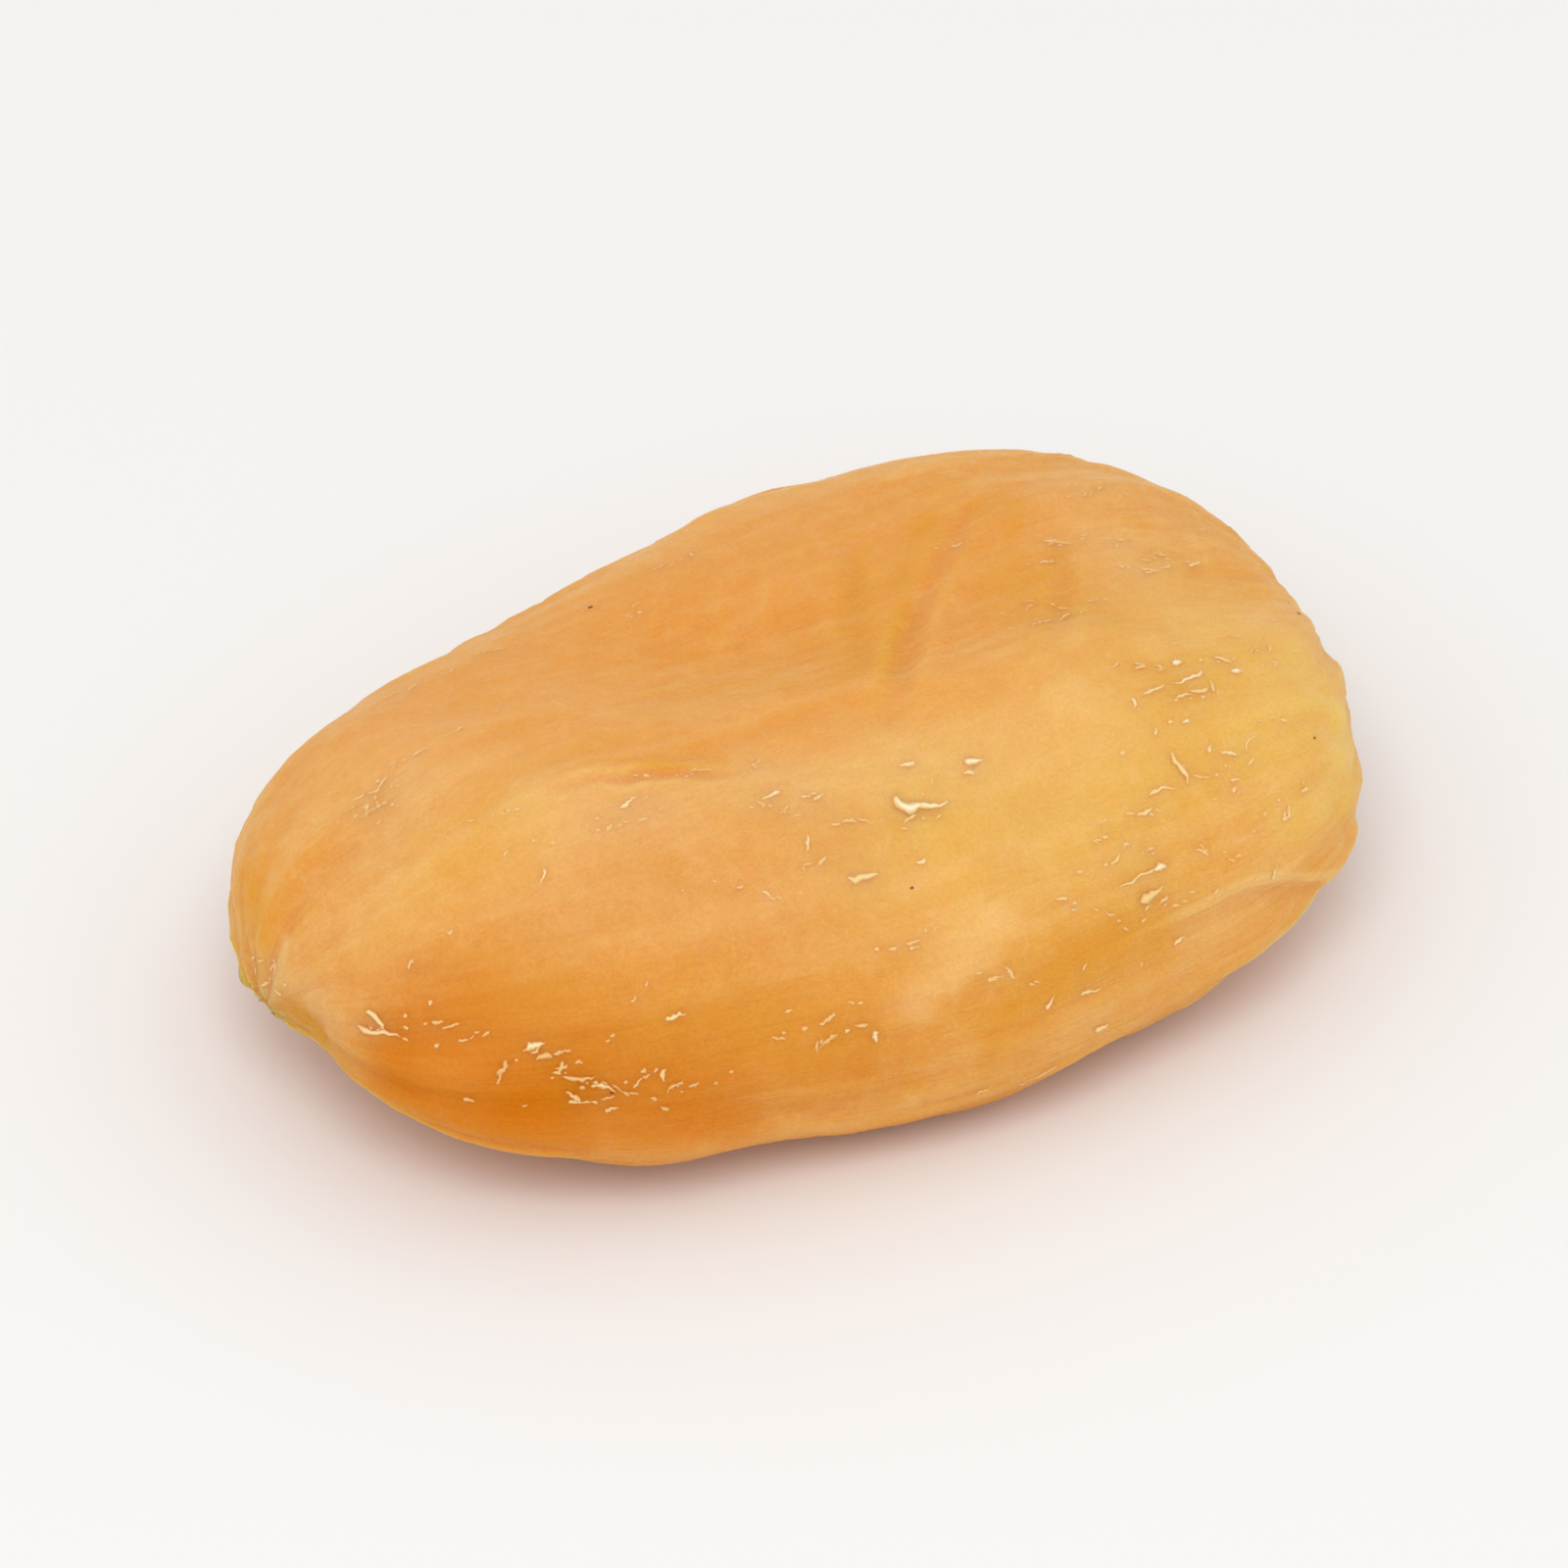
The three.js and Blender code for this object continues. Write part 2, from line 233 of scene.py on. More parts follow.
def lens(form):
    """The plain lens. Plan radius is the rim's reach times the section angle's cosine. Height over the rim is
    a power of its sine, times the crown's height above the seam or the belly's depth below it."""
    rings = form.rings
    share, direction = disc_grid(rings)
    spread = 0.7 * share + 0.3 * share**3
    drift = seam_drift(direction) * spread
    upper = np.pi / 2 * (1 - spread) + drift
    lower = -np.pi / 2 * (1 - spread) + drift
    inner = np.zeros(share.shape, bool)
    inner[1:-1, 1:-1] = True
    top_grid = np.arange(share.size).reshape(share.shape)
    low_grid = top_grid.copy()
    low_grid[inner] = share.size + np.arange(inner.sum())
    faces = np.concatenate([sheet_faces(top_grid, False), sheet_faces(low_grid, True)])

    section = np.concatenate([upper.ravel(), lower[inner]])
    direction = np.concatenate([direction.ravel(), direction[inner]])
    reach = rim_reach(direction, np.array(form.rim_reach) / MM) * np.cos(section)
    x, y = reach * np.cos(direction), reach * np.sin(direction)
    rim = RIM_ENDS_UP * (x / HALF_LENGTH) ** 2 - RIM_SIDES_DOWN * (y / HALF_WIDTH) ** 2 + BACK_UP * y
    line, _ = along_line(x, y, ROLL_START, ROLL_END)
    crown = form.crown_height / MM - CROWN_SLOPE * y - form.dish_depth / MM * dish_share(x, y)
    crown += form.roll_height / MM * bell(line / ROLL_WIDTH)
    from_hollow = np.hypot((x - HOLLOW_CENTRE[0]) / HOLLOW_REACH[0], (y - HOLLOW_CENTRE[1]) / HOLLOW_REACH[1])
    belly = form.belly_depth / MM + BACK_UP * y - HOLLOW * (1 - ease(0, 1, from_hollow))
    rise = np.abs(np.sin(section))
    height = np.where(section > 0, rise**form.crown_fullness * crown, -(rise**form.belly_fullness) * belly)
    return np.stack([x, y, rim + height], axis=1), faces, section, direction


# Where the flesh's colours lie on the finished skin, in millimetres: a strength, a width and a path.
DISH_PATHS = (
    (1.0, 7.3, ((-7.2, 3.9, 9.6), (0, 3.7, 9.2), (5.8, 2.6, 9.7))),
    (1.0, 2.5, ((-4.0, -2.3, 11.3), (1.5, -3.2, 11.0), (5.0, -3.4, 10.9))),
)
# Pale places: painted sheen along the roll and on other places that face up to the light.
PALE_SHEEN_PATHS = (
    (1.0, 2.0, ((-10, -3.8, 11.2), (-2.6, -5.6, 11.2), (2.7, -6.6, 10.9), (8, -7.2, 10.8))),
    (0.4, 3.4, ((-13.0, -5.0, 9.6), (-6.0, -8.0, 9.8), (0.0, -9.6, 9.4))),
    (0.8, 1.6, ((-13.4, 1.0, 10.0), (-9.0, -2.2, 11.2))),
    (0.5, 1.6, ((8, -3.6, 11.0), (13, -1.0, 9.8), (12.5, 4.0, 9.7))),
    (0.9, 1.0, ((1.8, -11.7, 8.0), (0.2, -12.1, 7.5), (-1.8, -12.5, 6.5))),
    (0.6, 1.3, ((12, -11.4, 6.0), (7, -12.4, 5.2), (1, -13.4, 4.2))),
    (0.8, 1.3, ((-18.6, -1.2, 5.8), (-17.6, -4.6, 6.6))),
    (0.5, 2.2, ((-13.2, 2.4, 9.6), (-15.2, -1.4, 9.4), (-16.6, -4.6, 8.0))),
)
# Yellow places: painted glow of light through the thin flesh at the tip and the left end.
TIP_GLOW_PATHS = (
    (0.6, 4.6, ((2, -9.5, 9.4), (8, -9.0, 9.4), (15, -6.0, 9.0))),
    (0.8, 3.0, ((13, -7.5, 9.0), (16.4, -5.8, 7.8))),
    (1.0, 1.4, ((17.4, -6.9, 6.9), (15.4, -9.4, 6.7), (13.1, -10.3, 7.2))),
    (0.35, 1.6, ((-16.2, -3.8, 8.8), (-13.4, -3.4, 10.2), (-11.0, -3.2, 11.0))),
)
# Amber places: painted shade low on the front, where the fruit turns under.
AMBER_SHADE_PATHS = (
    (1.0, 2.7, ((-17.2, -7.0, 6.0), (-15.0, -9.2, 5.2), (-12.8, -10.4, 4.8))),
    (0.8, 2.2, ((-12.8, -10.4, 4.8), (-8.6, -11.8, 4.4))),
    (0.35, 2.0, ((-8.6, -11.8, 4.4), (-4.0, -12.8, 4.2))),
)
# Ochre places: painted shade in the creases and low on the front, and the real ochre spots beside the stem.
OCHRE_AND_SHADE_PATHS = (
    (0.9, 1.4, ((6.9, -12.0, 5.8), (3.7, -12.6, 6.2), (0.8, -13.2, 4.8))),
    (0.8, 2.2, ((-14.0, -7.6, 7.6), (-9.6, -10.2, 7.2), (-4.6, -12.0, 6.2))),
    (0.4, 1.6, ((-4.0, -11.6, 7.4), (-2.0, -11.6, 7.8))),
    (0.5, 1.8, ((9.4, 1.6, 9.9), (10.7, -2.0, 10.5))),
    (0.9, 0.9, ((-18.3, 2.3, 7.2), (-18.8, 0.4, 6.9))),
    (0.9, 0.7, ((-18.8, -2.2, 5.1), (-18.4, -3.3, 4.6))),
    (0.8, 0.55, ((2.7, -1.8, 10.6), (3.9, 0.1, 10.1), (5.8, 3.0, 9.6), (8.6, 6.3, 9.3))),
    (0.6, 0.9, ((2.2, -0.8, 10.3), (3.6, 1.8, 9.7), (5.6, 5.4, 9.2))),
    (0.6, 0.6, ((11.3, 5.4, 9.6), (10.2, 3.6, 9.7))),
    (0.5, 0.5, ((7.8, -3.2, 11.0), (9.6, 0.2, 10.2), (11.0, 2.0, 9.9))),
    (0.7, 0.35, ((-9.2, -1.9, 11.3), (-4.3, -3.4, 11.3))),
    (0.5, 0.8, ((-11.4, -0.6, 10.8), (-7.0, -1.2, 11.1))),
)


# Whitish places: the scar round the stem's end, and a patch low on the roll.
WHITISH_PATHS = (
    (1.0, 0.35, ((-18.6, -0.9, 6.8), (-19.0, -0.8, 5.9), (-19.1, -0.7, 4.8))),
    (0.7, 0.4, ((-18.0, -4.5, 6.6), (-17.0, -6.6, 6.6))),
    (0.9, 0.9, ((1.8, -11.7, 8.0), (0.2, -12.1, 7.5), (-1.2, -12.4, 6.8))),
)


def strongest(points, paths, power):
    """The strongest of several paths at each point."""
    near = [strength * near_path(points, path, width, power) for strength, width, path in paths]
    return np.max(near, axis=0)


# The creases pressed into the upper side: one that forks in the dish, and fainter ones beside it. Each is a
# start and an end in plan, a depth and a width.
CREASES = (
    ((1.4, -3.6), (6.0, 3.2), 0.24, 0.5),
    ((5.4, 2.2), (9.4, 6.6), 0.16, 0.45),
    ((2.6, 1.0), (5.0, 7.6), 0.12, 0.5),
    ((7.6, -3.4), (11.4, 3.4), 0.12, 0.45),
    ((-1.5, 1.5), (1.5, 7.4), 0.08, 0.45),
    ((-9.8, -1.6), (-4.2, -3.6), 0.16, 0.4),
    ((6.0, -8.0), (2.0, -9.6), 0.12, 0.9),
)


class Skin:
    """The plain lens and what the relief and the colours need to know of each of its points."""

    def __init__(self, form):
        self.form = form
        self.points, self.faces, self.section, self.direction = lens(form)
        self.normals = vertex_normals(self.points, self.faces)
        self.x, self.y, _ = self.points.T
        self.bend = np.stack([noise(self.points / BEND_SIZE, seed) for seed in (11, 12, 13)], axis=1)
        self.rim = bell(self.section / RIM_SPREAD)
        self.stem = bell(np.hypot(self.x - STEM_END[0], self.y - STEM_END[1]) / STEM_END_REACH)
        u, v = (self.x - TIP_CENTRE[0]) / TIP_REACH[0], (self.y - TIP_CENTRE[1]) / TIP_REACH[1]
        self.tip = np.exp(-(u**2) - v**2)
        self.back = self.rim * bell(turn_from(self.direction, BACK_DIRECTION) / BACK_SPREAD)
        self.under = np.where(self.section < 0, 1 - self.rim, 0)
        self.above = SECTION_HEIGHT * (self.section - seam_drift(self.direction))
        self.above_lip = self.above - SECTION_HEIGHT * lip_rise(self.direction)
        self.lip = bell(turn_from(self.direction, LIP_DIRECTION) / LIP_SPREAD)

    def meridian(self, along, around, bend):
        """Coordinates that run from the stem to the tip and round the girth: latitude and the girth's unit
        vector, each stretched, and bent by smooth noise."""
        unit = self.points / [HALF_LENGTH, HALF_WIDTH, HALF_THICKNESS]
        unit /= np.linalg.norm(unit, axis=1, keepdims=True)
        latitude = np.arcsin(np.clip(unit[:, 0], -1, 1))
        girth = unit[:, 1:] / (np.linalg.norm(unit[:, 1:], axis=1, keepdims=True) + 1e-9)
        return np.column_stack([latitude * along, girth * around]) + bend * self.bend

    def folds(self, kind, level):
        """One kind of wrinkle, as folded noise over the meridian coordinates, less a level."""
        repeats, seed, softness = kind
        return folded(noise(self.meridian(*repeats), seed), softness) - level

    def patches(self, size, seed, start, end):
        """Soft patches, 0 to 1, from noise of a size in millimetres."""
        return ease(start, end, noise(self.points / size, seed))

    def lumps(self):
        """Slow swellings: two sizes of noise."""
        return 0.5 * noise(self.points / 9, 1) + 0.26 * noise(self.points / 4.6, 2)

    def wrinkles(self):
        """Long folds from end to end and closer wrinkles between them, deepest at the tip, back and below."""
        broad, close = self.folds(BROAD_FOLDS, 0.3), self.folds(CLOSE_WRINKLES, 0.25)
        patch = self.patches(8, 31, -0.25, 0.45)
        depth = 0.07 + 0.1 * patch + 0.1 * self.tip + 0.16 * self.back + 0.16 * self.under
        return 0.34 * broad + 1.2 * depth * close

    def nicks(self):
        """Short nicks across the rim, in patches: the troughs of noise in the rim's direction."""
        turn = self.direction
        round_rim = np.stack([8 * np.cos(turn), 8 * np.sin(turn), 1.4 * self.section], axis=1)
        depth = 0.03 + 0.1 * self.patches(6, 42, -0.1, 0.5)
        trough = np.clip(1 - np.abs(noise(round_rim + 0.5 * self.bend, 41)) / 0.35, 0, 1)
        return -depth * self.rim * trough

    def creases(self):
        """The creases pressed into the upper side."""
        return sum(self.crease(*line) for line in CREASES)

    def crease(self, start, end, depth, width):
        """A narrow valley with a low bank beyond it, both bells of the distance to a line, fading at its
        ends."""
        wander = 0.7 * noise(self.points / 3, 51) + 0.2 * noise(self.points / 1.1, 52)
        distance, share = along_line(self.x + wander, self.y + wander, start, end)
        fade = np.sin(np.pi * (0.1 + 0.8 * share))
        bank = 0.4 * bell((distance - 1.5 * width) / (0.7 * width))
        return np.where(self.section < 0, 0, -depth * fade * (bell(distance / width) - bank))

    def seam(self):
        """The seam round the rim: a fine groove, the step of the slit at the back that the stone came out of,
        and the lip beside the tip, a step that climbs the side and has the side drawn in below it."""
        slit = bell(turn_from(self.direction, SLIT_DIRECTION) / SLIT_SPREAD)
        groove = (SEAM_GROOVE + SLIT_GROOVE * slit) * bell(self.above / (SEAM_GROOVE_WIDTH * (1 + slit)))
        lip_groove = LIP_GROOVE * self.lip * bell((self.above_lip + 0.3) / 0.4)
        step = LIP_HEIGHT * self.lip * self.step_at(self.above_lip)
        step += SLIT_HEIGHT * slit * self.step_at(self.above)
        below = np.minimum(self.above, 0)
        drawn_in = DRAWN_IN_DEPTH * bell(turn_from(self.direction, DRAWN_IN_DIRECTION) / DRAWN_IN_SPREAD)
        return step - groove - lip_groove - drawn_in * (1 - np.exp(below / 0.9)) * np.exp(below / 6)

    @staticmethod
    def step_at(height):
        """A step up at height 0 that levels out on both sides of it."""
        return np.tanh(height / 0.3) * np.exp(-np.abs(height) / 2.6)

    def pucker(self):
        """The skin drawn together round the stem scar: folds along the length."""
        return 0.32 * self.stem * self.folds(PUCKER_FOLDS, 0.3)

    def relief(self):
        """Everything that the solid has too, in millimetres out along the normal."""
        return self.lumps() + self.wrinkles() + self.nicks() + self.creases() + self.seam() + self.pucker()

    def fine_relief(self):
        """Thread-like wrinkles along the length, in patches, and a low grain: noise drawn out along the
        fruit."""
        coarse, threads = self.folds(COARSE_THREADS, 0.25), self.folds(FINE_THREADS, 0.2)
        amount = 0.3 + 0.7 * self.patches(5, 73, -0.3, 0.5) + 0.5 * self.tip
        grain = 0.02 * noise(self.points / 0.9, 74)
        return self.form.wrinkle_depth / MM * amount * (coarse + 0.43 * threads) + grain

    def crest(self):
        """How far a place stands out of the skin round it, from -1 in the creases to 1 on the crests: the
        close wrinkles, the pressed creases and the lip's edge, which has its groove just below it. The
        colours turn it into painted highlight on the crests and painted shade in the creases."""
        close, coarse = self.folds(CLOSE_WRINKLES, 0.3), self.folds(COARSE_THREADS, 0.3)
        # The lip's edge: a painted highlight along it and painted shade just below it.
        edge = 1.8 * bell((self.above_lip - 0.15) / 0.15) - 0.6 * bell((self.above_lip + 0.35) / 0.3)
        return np.clip(0.8 * close + 0.9 * coarse + 3.4 * self.creases() + self.lip * edge, -1, 1)

    def zones(self, skin):
        """The flesh's colours, each from 0 to 1 at every point of the finished skin, and the coordinates for
        its fine streaks. Each zone is the nearest of a few paths, whose edges soft noise makes wander."""
        wide = skin + 1.1 * np.stack([noise(skin / 5, seed) for seed in (81, 82, 83)], axis=1)
        narrow = skin + 0.45 * np.stack([noise(skin / 1.8, seed) for seed in (84, 85, 86)], axis=1)
        # Amber all over the underside: painted shade.
        under = 0.8 * ease(0, -0.5, self.section)
        return {
            "dish": strongest(wide, DISH_PATHS, 4) * ease(-0.1, 0.3, self.section),
            # Pale: painted sheen.
            "pale": strongest(wide, PALE_SHEEN_PATHS, 2),
            "tip": strongest(wide, TIP_GLOW_PATHS, 2),
            # Amber: painted shade on the low side and underneath.
            "amber_shade": np.maximum(strongest(wide, AMBER_SHADE_PATHS, 2), under),
            # Ochre: real spots by the stem, and painted shade in the creases and low on the front.
            "ochre_and_shade": strongest(narrow, OCHRE_AND_SHADE_PATHS, 2),
            # Crest: painted highlight on the crests, painted shade in the creases, and the whitish places.
            "crest": np.maximum(self.crest(), strongest(narrow, WHITISH_PATHS, 2)),
            "flow": self.meridian(4, 28, 1.2),
        }

    def surface(self):
        """The finished skin, in metres: the lens pushed along its normals, the stem's snub, and the foot
        pressed flat by a quadratic blend, centred on its footprint."""
        skin = self.points + self.normals * self.relief()[:, None]
        to_stem = (self.points - STEM_PLACE) / STEM_SPREAD
        skin += np.array(STEM_PUSH) * bell(np.linalg.norm(to_stem, axis=1))[:, None]
        skin += vertex_normals(skin, self.faces) * self.fine_relief()[:, None]
        floor = skin[:, 2].min() + self.form.foot_sink / MM
        height = skin[:, 2] - floor
        pressed = np.where(height < -FOOT_BLEND, 0, (height + FOOT_BLEND) ** 2 / (4 * FOOT_BLEND))
        skin[:, 2] = np.where(height > FOOT_BLEND, height, pressed)
        skin[:, :2] -= (skin[:, :2].min(axis=0) + skin[:, :2].max(axis=0)) / 2
        return skin * MM


# Small things on the skin, in metres

# The largest flecks, in millimetres: each one's two ends, the fatter one first, its width and its brightness:
# how cream it is, partly dried skin and sugar and partly a painted glint.
LARGE_FLECKS = (
    ((0.2, -7.3, 10.5), (1.2, -7.8, 10.3), 0.5, 1.0),
    ((1.0, -7.7, 10.3), (2.1, -7.9, 10.2), 0.24, 0.9),
    ((1.6, -6.2, 10.8), (1.1, -6.1, 10.8), 0.3, 0.7),
    ((3.2, -6.7, 10.6), (3.8, -6.8, 10.6), 0.32, 1.0),
    ((3.3, -7.1, 10.5), (3.0, -7.0, 10.5), 0.22, 0.6),
    ((9.5, -6.3, 10.7), (9.4, -6.6, 10.6), 0.2, 0.8),
    ((9.9, -6.3, 10.6), (10.9, -6.1, 10.6), 0.16, 0.7),
    ((12.5, -5.8, 10.3), (11.2, -6.1, 10.5), 0.17, 0.8),
    ((13.3, -5.9, 10.1), (13.7, -5.9, 10.0), 0.28, 0.9),
    ((11.5, -5.3, 10.6), (11.8, -5.3, 10.6), 0.36, 1.0),
    ((11.0, -6.5, 10.4), (11.6, -6.5, 10.3), 0.14, 0.5),
    ((9.7, -7.6, 10.2), (9.8, -7.4, 10.2), 0.16, 0.7),
    ((10.3, -7.4, 10.1), (10.4, -7.4, 10.1), 0.18, 0.6),
    ((11.0, -7.4, 10.0), (10.8, -7.4, 10.0), 0.24, 0.8),
    ((11.1, -8.5, 9.5), (11.2, -8.3, 9.5), 0.22, 0.7),
    ((12.1, -8.7, 9.1), (11.5, -8.6, 9.3), 0.17, 0.7),
    ((12.4, -8.6, 9.1), (13.1, -8.1, 9.2), 0.12, 0.45),
    ((8.3, -8.0, 10.0), (8.4, -8.0, 10.0), 0.28, 0.45),
    ((8.5, -9.3, 9.3), (9.5, -9.3, 9.2), 0.18, 0.6),
    ((7.9, -9.8, 8.9), (8.5, -9.7, 8.9), 0.18, 0.6),
    ((7.9, -11.1, 7.7), (6.4, -11.4, 7.6), 0.12, 0.6),
    ((8.3, -11.1, 7.7), (7.9, -11.2, 7.7), 0.3, 0.9),
    ((12.4, -6.7, 10.0), (12.5, -6.3, 10.2), 0.12, 0.4),
    ((12.1, -11.4, 5.9), (12.3, -11.4, 6.3), 0.16, 0.6),
    ((-3.0, -5.6, 10.9), (-3.7, -5.7, 11.0), 0.22, 0.8),
    ((-2.9, -7.4, 10.4), (-3.2, -7.9, 10.2), 0.16, 0.7),
    ((-2.3, -9.0, 9.6), (-1.2, -9.2, 9.5), 0.28, 0.55),
    ((0.4, -9.3, 9.6), (0.1, -9.3, 9.6), 0.24, 0.7),
    ((-8.1, -4.2, 11.1), (-7.4, -4.0, 11.2), 0.18, 0.8),
    ((-11.2, -5.0, 10.3), (-11.5, -5.3, 10.1), 0.16, 0.8),
    ((-18.0, -4.9, 6.3), (-17.0, -6.4, 6.6), 0.22, 0.6),
    ((-17.6, -5.0, 7.0), (-17.3, -5.8, 6.7), 0.22, 0.7),
    ((-13.9, -9.1, 6.9), (-13.3, -9.2, 7.0), 0.24, 0.8),
    ((-12.3, -10.4, 5.8), (-11.6, -10.7, 5.5), 0.16, 0.6),
    ((-9.5, -10.3, 7.4), (-8.8, -10.5, 7.4), 0.2, 0.8),
    ((-13.0, -10.2, 5.1), (-12.7, -10.3, 5.1), 0.18, 0.5),
    ((-10.0, -11.2, 6.2), (-10.1, -11.4, 5.9), 0.18, 0.5),
    ((-4.0, -12.3, 6.2), (-3.9, -12.3, 6.2), 0.2, 0.6),
    ((-3.1, -12.4, 6.1), (-3.1, -12.6, 5.8), 0.24, 0.8),
    ((2.9, -13.0, 5.1), (3.2, -12.9, 5.4), 0.2, 0.8),
    ((4.2, -12.8, 5.2), (5.0, -12.8, 5.1), 0.14, 0.5),
    ((4.6, -13.1, 3.6), (5.1, -13.0, 3.6), 0.24, 0.6),
    ((8.0, -12.2, 5.2), (8.4, -12.1, 5.3), 0.2, 0.7),
)
# Where rows of smaller flecks lie: a place in millimetres, how far the rows spread, how many they are, a
# fleck's length, and how bright the rows are.
FLECK_CLUSTERS = (
    ((1.6, -7.4, 10.5), 1.0, 2, 0.3, 0.8),
    ((11.4, -5.8, 10.6), 1.2, 3, 0.3, 0.8),
    ((11.0, -8.0, 9.7), 1.3, 4, 0.3, 0.8),
    ((8.3, -9.6, 9.0), 1.2, 2, 0.35, 0.8),
    ((15.0, -5.5, 8.8), 1.4, 4, 0.3, 0.8),
    ((-14.1, 0.9, 9.9), 0.5, 6, 0.3, 0.9),
    ((-7.0, -4.4, 11.3), 0.9, 3, 0.3, 0.8),
    ((-2.4, -6.8, 10.8), 1.8, 5, 0.3, 0.8),
    ((-11.0, -5.0, 10.4), 2.4, 4, 0.25, 0.8),
    ((-5.5, -8.6, 9.6), 2.4, 4, 0.3, 0.7),
    ((8.0, -11.3, 7.5), 1.8, 4, 0.35, 0.7),
    ((13.5, -9.8, 7.2), 1.6, 4, 0.35, 0.7),
    ((-14.5, -8.8, 6.2), 1.5, 5, 0.35, 0.6),
    ((-11.0, -10.7, 5.9), 1.5, 6, 0.35, 0.6),
    ((-16.8, -6.0, 6.9), 0.6, 3, 0.4, 0.8),
    ((-3.8, -12.2, 6.4), 2.4, 4, 0.35, 0.7),
    ((3.4, -13.0, 5.2), 2.6, 6, 0.35, 0.8),
    ((-18.6, -0.9, 6.2), 0.7, 4, 0.35, 0.8),
    ((6.0, 4.0, 9.2), 5.0, 3, 0.2, 0.7),
    ((13.0, 1.0, 9.6), 2.5, 5, 0.25, 0.8),
    ((14.0, 6.0, 8.6), 2.5, 3, 0.3, 0.8),
    ((0.0, 9.0, 7.0), 9.0, 5, 0.3, 0.8),
    ((8.0, 12.0, 5.0), 5.0, 5, 0.4, 0.8),
    ((-10.0, 10.0, 4.0), 6.0, 5, 0.4, 0.8),
    ((17.0, 3.0, 6.0), 4.0, 5, 0.4, 0.8),
    ((0.0, 0.0, 1.0), 14.0, 10, 0.4, 0.8),
)
SPECKS = ((-0.5, -10.0, 9.2), (15.4, -8.0, 8.1), (18.3, -1.6, 7.5), (-11.6, -10.6, 5.4))
# How many more specks lie at random near the back, and two corners of the box that they lie in.
MORE_SPECKS, MORE_SPECKS_FROM, MORE_SPECKS_TO = 6, (-15, 4, 0), (15, 14, 8)


def nearest(points, places):
    """For each place, the number of the nearest point: the least squared distance, worked out in blocks."""
    squares = (points**2).sum(axis=1)
    blocks = np.array_split(places, max(1, len(places) // 200))
    return np.concatenate([np.argmin(squares - 2 * block @ points.T, axis=1) for block in blocks])


def directions(normals, lean):
    """Two directions in the skin at each place: along the fruit but leaning by an angle, and across that."""
    ahead = np.array([1.0, 0, 0]) - normals * normals[:, :1]
    ahead /= np.linalg.norm(ahead, axis=1, keepdims=True)
    across = np.cross(normals, ahead)
    cosine, sine = np.cos(lean)[:, None], np.sin(lean)[:, None]
    return cosine * ahead + sine * across, cosine * across - sine * ahead


def spindles(points, normals, centres, length, width, lean, skew, draw):
    """Closed ragged slivers lying on the skin, and how near each vertex is to its sliver's ridge along the
    top,
    0 to 1, which the flecks' colour uses for a painted glint.
    Each one's middle line is a cubic through its centre with a random wiggle, dropped onto the skin's nearest
    tangent planes. Round it goes a low oval of uneven width, which swells from nothing at both ends, and more
    to one of them by the skew."""
    steps, sides = 7, 5
    count = len(centres)
    ahead, across = directions(normals[centres], lean)
    run = np.linspace(-1, 1, steps + 2)
    bow, curl = draw.normal(0, (0.2, 0.12), (count, 2)).T[:, :, None]
    arc = bow * (run**2 - 0.33) + curl * run * (run**2 - 0.6) + draw.normal(0, 0.06, (count, len(run)))
    half = (length / 2)[:, None, None]
    line = run[:, None] * ahead[:, None] + arc[:, :, None] * across[:, None]
    line = points[centres][:, None] + half * line
    flat = line.reshape(-1, 3)
    under = nearest(points, flat)
    up = normals[under]
    flat = flat - up * ((flat - points[under]) * up).sum(axis=1, keepdims=True)
    line, up = flat.reshape(count, -1, 3), up.reshape(count, -1, 3)
    aside = np.cross(up, ahead[:, None])
    aside /= np.linalg.norm(aside, axis=2, keepdims=True)
    swell = (1 - run**2) ** 0.5 * np.clip(1 + skew[:, None] * run, 0.3, 1.7) * width[:, None]
    swell *= draw.uniform(0.55, 1.3, (count, len(run)))
    turn = (np.arange(sides) + 0.25) * 2 * np.pi / sides
    out = (aside * swell[:, :, None] / 2)[:, 1:-1, None] * np.cos(turn)[:, None]
    rise = (up * swell[:, :, None] / 7)[:, 1:-1, None] * np.sin(turn)[:, None]
    rings = line[:, 1:-1, None] + out + rise
    each = np.concatenate([rings.reshape(count, -1, 3), line[:, [0, -1]]], axis=1)
    # The ridge runs along the upper side only: where the flecks get their painted glint.
    ridge = np.append(np.outer(1 - run[1:-1] ** 4, np.sin(turn) > 0.5), (0, 0))

    grid = np.arange(steps * sides).reshape(steps, sides)
    a, b = grid[:-1], np.roll(grid[:-1], -1, axis=1)
    c, d = np.roll(grid[1:], -1, axis=1), grid[1:]
    start, end = grid[0], grid[-1]
    first, last = np.full(sides, steps * sides), np.full(sides, steps * sides + 1)
    faces = np.concatenate(
        [
            np.stack([a, b, c], axis=-1).reshape(-1, 3),
            np.stack([a, c, d], axis=-1).reshape(-1, 3),
            np.stack([np.roll(start, -1), start, first], axis=-1),
            np.stack([end, np.roll(end, -1), last], axis=-1),
        ]
    )
    shift = np.arange(count)[:, None, None] * each.shape[1]
    return each.reshape(-1, 3), (faces + shift).reshape(-1, 3), np.tile(ridge, (count, 1))


